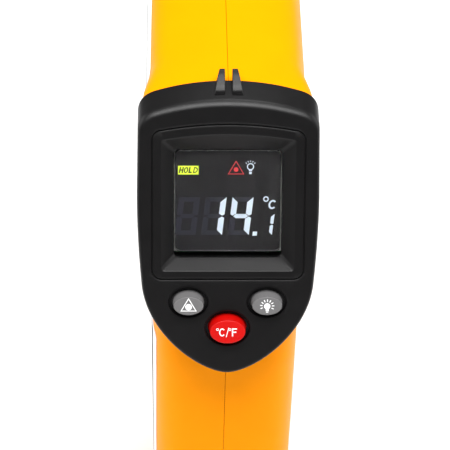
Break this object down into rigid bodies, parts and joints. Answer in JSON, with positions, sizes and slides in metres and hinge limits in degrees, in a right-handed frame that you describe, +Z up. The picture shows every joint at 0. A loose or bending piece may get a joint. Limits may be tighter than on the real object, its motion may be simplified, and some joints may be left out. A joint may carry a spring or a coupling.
{
  "type": "infrared thermometer",
  "caption": "Pistol-grip infrared thermometer with a tilted display, three keys, a trigger, a front lens and a battery door in the grip.",
  "frame": {"origin": "centre of the flat base of the handle", "axes": "+Y is the aiming direction, +X the user's right seen from the display, +Z up the handle"},
  "size_m": [0.043, 0.101, 0.1529],
  "materials": {
    "yellow_plastic": "fine satin moulded plastic",
    "black_plastic": "fine satin black moulded plastic",
    "grey_key": "satin grey key with a white sign",
    "red_key": "satin red key with a white sign",
    "red_plastic": "satin",
    "clear_window": "clear polished acrylic",
    "lcd_panel": "dark liquid crystal panel",
    "white_diffuser": "milky light guide",
    "circuit_board": "green solder mask",
    "silicone": "matte silicone rubber",
    "infrared_lens": "moulded polyethylene infrared lens",
    "steel": "nickel plated steel",
    "spring_steel": "nickel plated spring steel",
    "brass": "turned brass barrel",
    "cell_wrap": "plain printed battery sleeve",
    "red_lead": "insulated wire",
    "black_lead": "insulated wire",
    "grey_lead": "insulated wire",
    "label": "plain printed label"
  },
  "bodies": {
    "instrument": {"left_housing": "yellow_plastic", "right_housing": "yellow_plastic", "display_bezel": "black_plastic", "nose_cap": "black_plastic", "lcd_holder": "black_plastic", "optics_tube": "black_plastic", "lens_retainer": "black_plastic", "battery_cradle": "black_plastic", "trigger_switch": "black_plastic", "controller_chip": "black_plastic", "buzzer": "black_plastic", "display_window": "clear_window", "laser_window": "clear_window", "lcd_glass": "lcd_panel", "backlight_panel": "white_diffuser", "main_board": "circuit_board", "sensor_board": "circuit_board", "trigger_board": "circuit_board", "keypad_membrane": "silicone", "lens_seal": "silicone", "ir_lens": "infrared_lens", "ir_sensor": "steel", "laser_module": "brass", "trigger_pin": "steel", "door_pin": "steel", "trigger_spring": "spring_steel", "battery_1": "cell_wrap", "battery_2": "cell_wrap", "bridge_contact": "spring_steel", "positive_contact": "spring_steel", "negative_contact": "spring_steel", "battery_lead_red": "red_lead", "battery_lead_black": "black_lead", "laser_lead": "red_lead", "sensor_lead": "grey_lead", "barrel_label": "label", "handle_label": "label", "board_screw_left": "steel", "board_screw_right": "steel", "housing_screw_1": "steel", "housing_screw_2": "steel", "housing_screw_3": "steel", "housing_screw_4": "steel"},
    "trigger": {"trigger": "black_plastic"},
    "switch_plunger": {"switch_plunger": "red_plastic"},
    "battery_door": {"battery_door": "yellow_plastic"},
    "laser_button": {"laser_button": "grey_key", "laser_pill": "silicone"},
    "backlight_button": {"backlight_button": "grey_key", "backlight_pill": "silicone"},
    "unit_button": {"unit_button": "red_key", "unit_pill": "silicone"}
  },
  "joints": [
    {"name": "trigger_pull", "type": "hinge", "parent": "instrument", "child": "trigger", "pos_m": [0, 0.036, 0.1075], "axis": [-1, 0, 0], "range_deg": [0, 8], "stiffness_Nm_per_rad": 0.15, "springref_deg": -11.46, "deforming": ["trigger_spring"]},
    {"name": "plunger_travel", "type": "slide", "parent": "instrument", "child": "switch_plunger", "axis": [0, -1, 0], "range_m": [0, 0.00195]},
    {"name": "door_swing", "type": "hinge", "parent": "instrument", "child": "battery_door", "pos_m": [0, 0.0205, 0.009], "axis": [-1, 0, 0], "range_deg": [0, 90]},
    {"name": "laser_button_press", "type": "slide", "parent": "instrument", "child": "laser_button", "axis": [0, 0.8192, -0.5736], "range_m": [0, 0.0009], "stiffness_N_per_m": 300, "springref_m": -0.001},
    {"name": "backlight_button_press", "type": "slide", "parent": "instrument", "child": "backlight_button", "axis": [0, 0.8192, -0.5736], "range_m": [0, 0.0009], "stiffness_N_per_m": 300, "springref_m": -0.001},
    {"name": "unit_button_press", "type": "slide", "parent": "instrument", "child": "unit_button", "axis": [0, 0.8192, -0.5736], "range_m": [0, 0.0009], "stiffness_N_per_m": 300, "springref_m": -0.001}
  ],
  "couplings": [
    {"joint": "plunger_travel", "follows": "trigger_pull", "m_per_rad": 0.01384}
  ]
}
